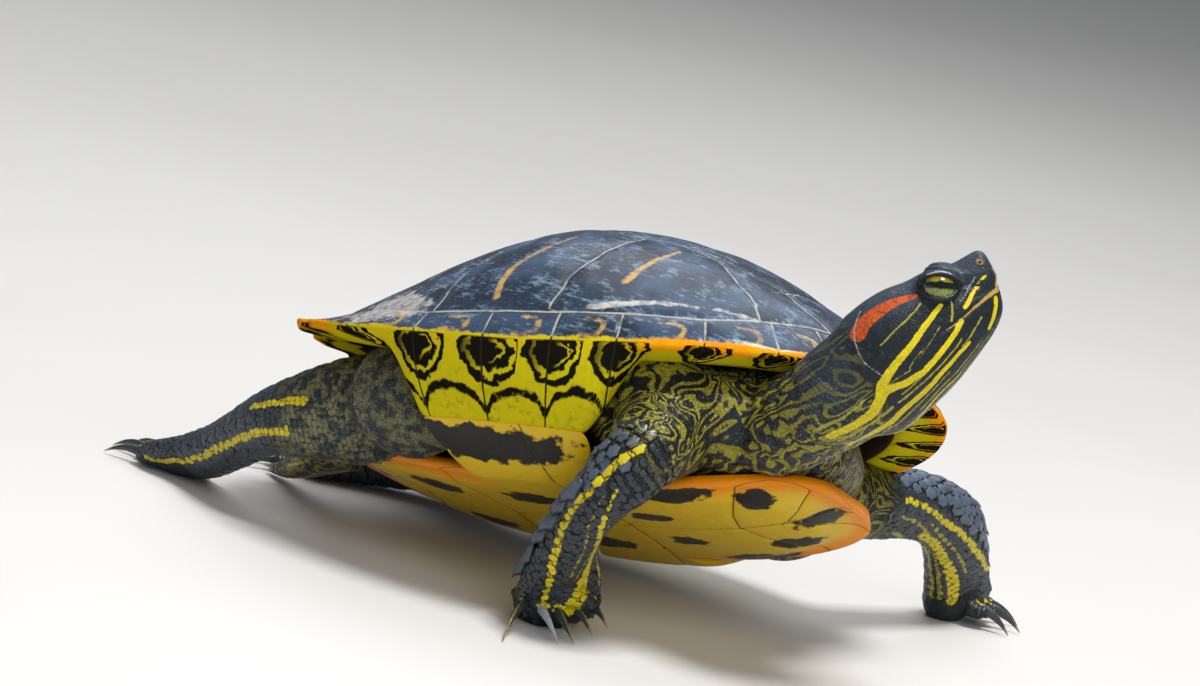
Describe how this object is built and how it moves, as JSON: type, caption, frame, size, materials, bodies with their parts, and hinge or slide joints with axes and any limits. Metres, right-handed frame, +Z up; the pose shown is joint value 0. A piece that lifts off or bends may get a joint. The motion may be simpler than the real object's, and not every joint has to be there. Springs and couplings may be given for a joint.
{
  "type": "red-eared slider turtle",
  "caption": "Life-size still model of a basking pond slider turtle, propped on its right foreleg with its head raised and its hind legs stretched back.",
  "frame": {"origin": "on the floor under the middle of the whole model's box", "axes": "+X the way the turtle's body points, +Y its left, +Z up"},
  "size_m": [0.2824, 0.2246, 0.1332],
  "materials": {
    "carapace": "slate blue-grey horn shields with pale growth seams, worn and half glossy",
    "plastron": "yellow to orange horn with black blotches and thin dark seams",
    "skin": "black-green scaly skin with yellow stripes and a red patch behind each eye",
    "eye": "wet greenish-yellow iris with a dark bar through the pupil",
    "claw": "dark horn, paler to the tips"
  },
  "bodies": {
    "root": {"carapace": "carapace", "claw_front_left_1": "claw", "claw_front_left_2": "claw", "claw_front_left_3": "claw", "claw_front_left_4": "claw", "claw_front_left_5": "claw", "claw_front_right_1": "claw", "claw_front_right_2": "claw", "claw_front_right_3": "claw", "claw_front_right_4": "claw", "claw_front_right_5": "claw", "claw_hind_left_1": "claw", "claw_hind_left_2": "claw", "claw_hind_left_3": "claw", "claw_hind_left_4": "claw", "claw_hind_right_1": "claw", "claw_hind_right_2": "claw", "claw_hind_right_3": "claw", "claw_hind_right_4": "claw", "eye_left": "eye", "eye_right": "eye", "front_left_foot": "skin", "front_left_lower_leg": "skin", "front_left_upper_leg": "skin", "front_right_foot": "skin", "front_right_lower_leg": "skin", "front_right_upper_leg": "skin", "head": "skin", "hind_left_foot": "skin", "hind_left_lower_leg": "skin", "hind_left_upper_leg": "skin", "hind_right_foot": "skin", "hind_right_lower_leg": "skin", "hind_right_upper_leg": "skin", "lower_jaw": "skin", "neck": "skin", "plastron": "plastron", "tail": "skin", "trunk": "skin"}
  },
  "joints": []
}
